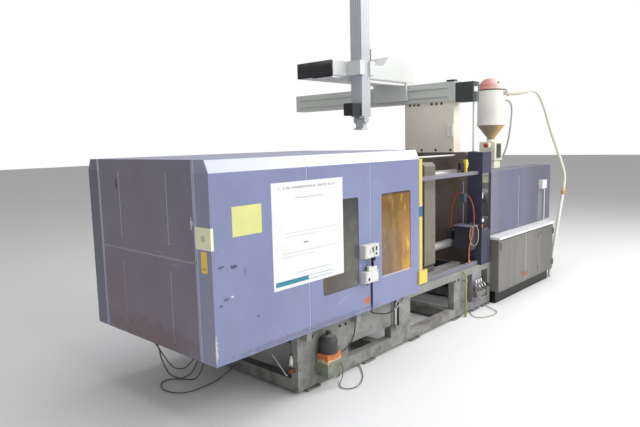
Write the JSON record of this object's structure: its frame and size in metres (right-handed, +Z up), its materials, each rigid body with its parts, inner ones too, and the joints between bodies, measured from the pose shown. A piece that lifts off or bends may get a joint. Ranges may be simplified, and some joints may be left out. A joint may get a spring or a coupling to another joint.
{
  "type": "injection moulding machine",
  "caption": "Horizontal injection moulding machine with sliding safety gates, hydraulic clamp, injection unit, hopper loader and a traversing take-out robot over the platens.",
  "frame": {"origin": "centre of the locating bore at the mould face of the fixed platen", "axes": "+X along the barrel from the mould face to the injection drive, +Z up, -Y to the operator side; the floor is at z = -1.260 m"},
  "size_m": [6.8807, 3.3, 4.15],
  "materials": {
    "cover_blue": "satin",
    "machine_grey": "satin",
    "dark_steel": "satin",
    "bright_steel": "machined",
    "platen_iron": "machined",
    "smoked_plastic": "gloss",
    "amber_plastic": "gloss",
    "yellow_paint": "satin",
    "white_plastic": "matte",
    "cabinet_grey": "satin",
    "lube_parts": "satin",
    "oil_green": "satin",
    "red_rubber": "matte",
    "beige_rubber": "matte",
    "black_plastic": "matte",
    "hopper_white": "satin",
    "hopper_pink": "satin",
    "robot_white": "satin",
    "robot_green": "satin"
  },
  "bodies": {
    "machine": {"bed_sides": "machine_grey", "bed_cross_beams": "machine_grey", "leveling_feet": "machine_grey", "slide_ways": "bright_steel", "fixed_platen": "dark_steel", "cylinder_platen": "dark_steel", "tie_bars": "bright_steel", "tie_bar_nuts": "bright_steel", "clamp_cylinder": "machine_grey", "cover_frame": "machine_grey", "front_end_cover": "cover_blue", "rear_end_cover": "cover_blue", "end_panel_upper": "cover_blue", "end_panel_lower": "cover_blue", "window_cover": "cover_blue", "smoked_window": "smoked_plastic", "rear_cover": "cover_blue", "top_cover": "cover_blue", "gate_rails": "cover_blue", "guard_post": "dark_steel", "rear_gate_rails": "machine_grey", "interlock_switches": "white_plastic", "lube_unit": "lube_parts", "water_manifold": "cabinet_grey", "hose_manifold": "dark_steel", "water_hose": "red_rubber", "power_cabinet": "cabinet_grey", "oil_tank": "oil_green", "injection_ways": "bright_steel", "injection_front_cover": "cover_blue", "injection_rear_cover": "cover_blue", "robot_riser": "robot_white", "robot_beam": "robot_green"},
    "clamp": {"moving_platen": "platen_iron", "clamp_ram": "bright_steel"},
    "ejector": {"ejector_plate": "machine_grey"},
    "front_gate": {"gate": "cover_blue", "gate_window": "amber_plastic", "gate_edge": "yellow_paint"},
    "front_roller": {"gate_roller_front": "white_plastic"},
    "rear_roller": {"gate_roller_rear": "white_plastic"},
    "back_gate": {"rear_gate": "cover_blue"},
    "lever": {"valve_lever": "black_plastic"},
    "left_door": {"cabinet_door_left": "cabinet_grey"},
    "right_door": {"cabinet_door_right": "cabinet_grey"},
    "carriage": {"feed_block": "bright_steel", "barrel": "bright_steel", "heater_bands": "bright_steel", "throat_block": "hopper_white", "sight_box": "hopper_white", "loader_body": "hopper_white", "material_hose": "beige_rubber"},
    "drive": {"drive_head": "dark_steel"},
    "plasticizing_screw": {"screw": "bright_steel"},
    "throat_slide": {"throat_gate": "bright_steel"},
    "lid": {"loader_lid": "hopper_pink"},
    "traverse": {"robot_side_arm": "robot_white"},
    "kick": {"robot_arm_bracket": "robot_white"},
    "arm": {"robot_arm": "robot_white"},
    "wrist": {"robot_wrist": "robot_white"}
  },
  "joints": [
    {"name": "clamp_slide", "type": "slide", "parent": "machine", "child": "clamp", "axis": [1, 0, 0], "range_m": [-0.45, 0.46]},
    {"name": "ejector_slide", "type": "slide", "parent": "clamp", "child": "ejector", "axis": [1, 0, 0], "range_m": [0, 0.15]},
    {"name": "gate_slide", "type": "slide", "parent": "machine", "child": "front_gate", "axis": [1, 0, 0], "range_m": [0, 1.265]},
    {"name": "front_roller_turn", "type": "hinge", "parent": "front_gate", "child": "front_roller", "pos_m": [-1.655, -0.687, -0.6197], "axis": [0, 1, 0], "continuous": true},
    {"name": "rear_roller_turn", "type": "hinge", "parent": "front_gate", "child": "rear_roller", "pos_m": [-2.278, -0.687, -0.6197], "axis": [0, 1, 0], "continuous": true},
    {"name": "back_gate_slide", "type": "slide", "parent": "machine", "child": "back_gate", "axis": [-1, 0, 0], "range_m": [0, 1.3]},
    {"name": "valve_turn", "type": "hinge", "parent": "machine", "child": "lever", "pos_m": [0.065, -0.77, -0.985], "axis": [0, 0, -1], "range_deg": [0, 90]},
    {"name": "left_door_turn", "type": "hinge", "parent": "machine", "child": "left_door", "pos_m": [1.577, -0.869, -0.76], "axis": [0, 0, 1], "range_deg": [0, 110]},
    {"name": "right_door_turn", "type": "hinge", "parent": "machine", "child": "right_door", "pos_m": [2.09, -0.869, -0.76], "axis": [0, 0, 1], "range_deg": [0, 110]},
    {"name": "carriage_slide", "type": "slide", "parent": "machine", "child": "carriage", "axis": [1, 0, 0], "range_m": [0, 0.25]},
    {"name": "shot_slide", "type": "slide", "parent": "carriage", "child": "drive", "axis": [-1, 0, 0], "range_m": [0, 0.19]},
    {"name": "screw_turn", "type": "hinge", "parent": "drive", "child": "plasticizing_screw", "pos_m": [2.15, 0, 0], "axis": [1, 0, 0], "continuous": true},
    {"name": "throat_gate_slide", "type": "slide", "parent": "carriage", "child": "throat_slide", "axis": [1, 0, 0], "range_m": [0, 0.09]},
    {"name": "loader_lid_turn", "type": "hinge", "parent": "carriage", "child": "lid", "pos_m": [1.78, 0.219, 1.594], "axis": [-1, 0, 0], "range_deg": [0, 90]},
    {"name": "robot_traverse", "type": "slide", "parent": "machine", "child": "traverse", "axis": [0, 1, 0], "range_m": [-0.195, 1.45]},
    {"name": "robot_kick", "type": "slide", "parent": "traverse", "child": "kick", "axis": [1, 0, 0], "range_m": [-0.24, 0.4]},
    {"name": "robot_lift", "type": "slide", "parent": "kick", "child": "arm", "axis": [0, 0, 1], "range_m": [-0.2, 0.25]},
    {"name": "robot_wrist_turn", "type": "hinge", "parent": "arm", "child": "wrist", "pos_m": [-1.16, 0.195, 1.11], "axis": [0, -1, 0], "range_deg": [0, 90]}
  ],
  "couplings": [
    {"joint": "front_roller_turn", "follows": "gate_slide", "rad_per_m": 33.333},
    {"joint": "rear_roller_turn", "follows": "gate_slide", "rad_per_m": 33.333}
  ]
}
